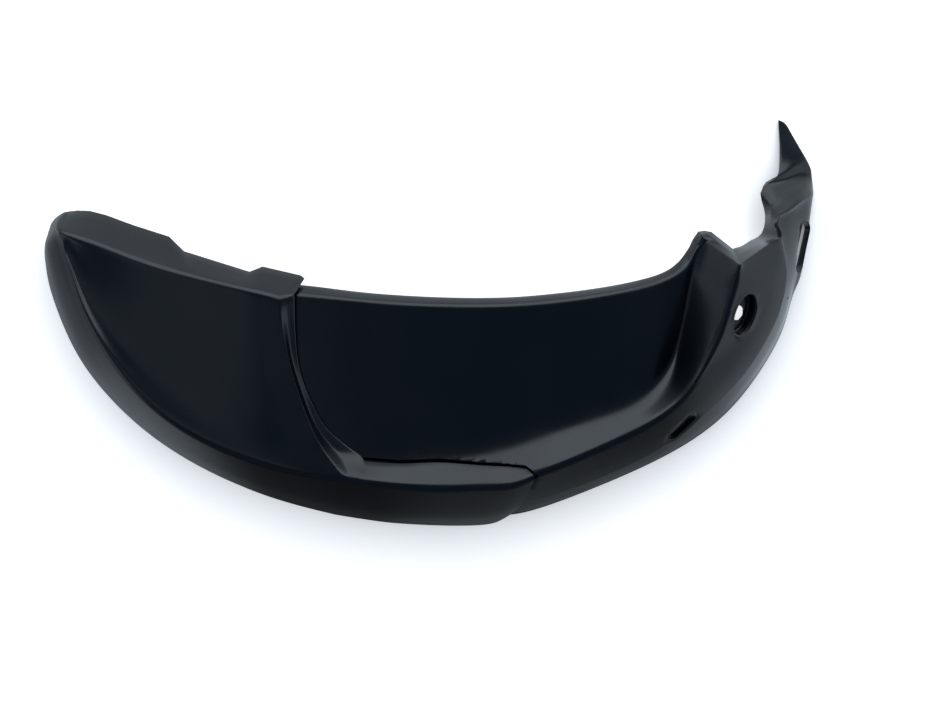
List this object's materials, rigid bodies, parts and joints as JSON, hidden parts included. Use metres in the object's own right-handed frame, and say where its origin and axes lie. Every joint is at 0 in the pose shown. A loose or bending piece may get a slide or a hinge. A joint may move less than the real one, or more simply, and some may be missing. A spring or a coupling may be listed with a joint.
{
  "type": "motorcycle front mudguard",
  "caption": "One side half of a motorcycle front mudguard: a recessed moulded main panel with an overlapping end cover, a sunk fixing bore and slots.",
  "frame": {"origin": "middle of the part's box on its split plane", "axes": "+X along the wheel arc towards the end with the bore and slots, +Y towards the wheel's axle, +Z outwards, square to the split plane"},
  "size_m": [0.6031, 0.3192, 0.0987],
  "materials": {
    "black_plastic": "fine moulded grain, satin black",
    "screw_steel": "zinc plated"
  },
  "bodies": {
    "root": {"main_panel": "black_plastic", "end_cover": "black_plastic", "cover_screw_1": "screw_steel", "cover_screw_2": "screw_steel", "cover_screw_3": "screw_steel"}
  },
  "joints": []
}
